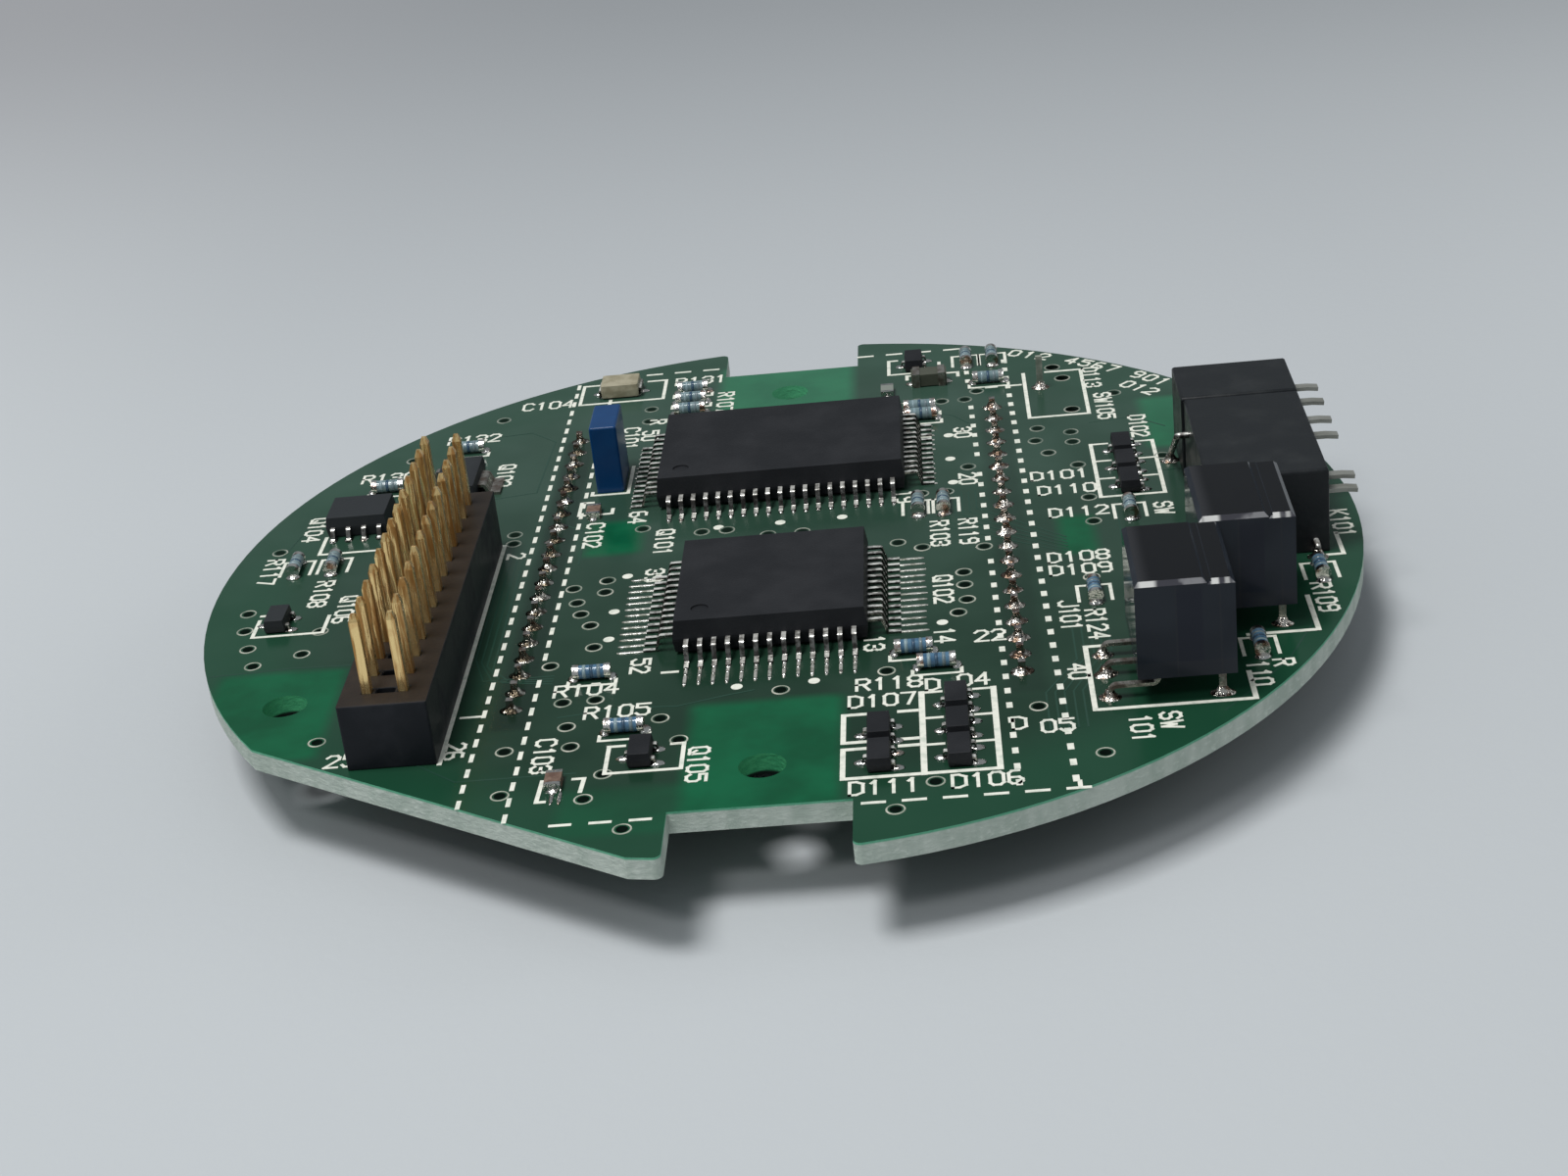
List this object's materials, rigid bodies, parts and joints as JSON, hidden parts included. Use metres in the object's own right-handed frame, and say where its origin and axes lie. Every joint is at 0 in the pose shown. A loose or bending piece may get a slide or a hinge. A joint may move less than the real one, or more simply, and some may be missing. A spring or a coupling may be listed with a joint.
{
  "type": "industrial control board",
  "caption": "Round populated control board with chips, a pin header, key sensors, a relay and socket strips for a display beneath.",
  "frame": {"origin": "centre of the round board on its component face, midway between the front and back fixing holes", "axes": "+X towards the side with the key sensors and relay, +Y away from the flat edge, +Z out of the component face"},
  "size_m": [0.088, 0.087, 0.0179],
  "materials": {
    "laminate": "glossy green solder mask over glass fibre",
    "black_moulding": "satin black moulding",
    "chip_moulding": "fine matt moulding compound",
    "smoked_plastic": "glossy smoked infra-red filter plastic",
    "gilt_pin": "gold-plated brass",
    "contact_bronze": "plated spring bronze",
    "tinned_lead": "tinned lead frame",
    "solder": "bright solder",
    "resistor_lacquer": "blue lacquer",
    "blue_box": "blue film capacitor box",
    "tantalum_moulding": "tan moulding compound",
    "capacitor_ceramic": "brown chip ceramic",
    "resonator_ceramic": "khaki ceramic can"
  },
  "bodies": {
    "root": {"back_transistor": "chip_moulding", "chip_capacitor_bodies": "capacitor_ceramic", "chip_capacitor_ends": "tinned_lead", "circuit_board": "laminate", "clamp_diode_front_1": "chip_moulding", "clamp_diode_front_2": "chip_moulding", "controller_chip_body": "chip_moulding", "controller_chip_leads": "tinned_lead", "cut_switch_leg": "tinned_lead", "display_contacts_left": "contact_bronze", "display_contacts_right": "contact_bronze", "display_socket_left": "black_moulding", "display_socket_right": "black_moulding", "display_solder_left": "solder", "display_solder_right": "solder", "driver_chip_body": "chip_moulding", "driver_chip_leads": "tinned_lead", "film_capacitor_body": "blue_box", "film_capacitor_leads": "tinned_lead", "front_sensor_block": "smoked_plastic", "front_sensor_leads": "tinned_lead", "front_sensor_slab": "smoked_plastic", "front_transistor": "chip_moulding", "header_body": "black_moulding", "header_pins": "gilt_pin", "header_solder": "solder", "left_transistor": "chip_moulding", "memory_chip_body": "chip_moulding", "memory_chip_leads": "tinned_lead", "rear_sensor_block": "smoked_plastic", "rear_sensor_leads": "tinned_lead", "rear_sensor_slab": "smoked_plastic", "regulator_body": "chip_moulding", "regulator_leads": "tinned_lead", "relay_blades": "tinned_lead", "relay_case": "black_moulding", "relay_end_block": "black_moulding", "relay_leads": "tinned_lead", "resistor_bodies": "resistor_lacquer", "resistor_ends": "tinned_lead", "resonator_body": "resonator_ceramic", "resonator_terminals": "tinned_lead", "small_device_leads": "tinned_lead", "steering_diode_front_1": "chip_moulding", "steering_diode_front_2": "chip_moulding", "steering_diode_front_3": "chip_moulding", "steering_diode_right_1": "chip_moulding", "steering_diode_right_2": "chip_moulding", "steering_diode_right_3": "chip_moulding", "tantalum_capacitor_body": "tantalum_moulding", "tantalum_capacitor_terminals": "tinned_lead", "through_hole_solder": "solder"}
  },
  "joints": []
}
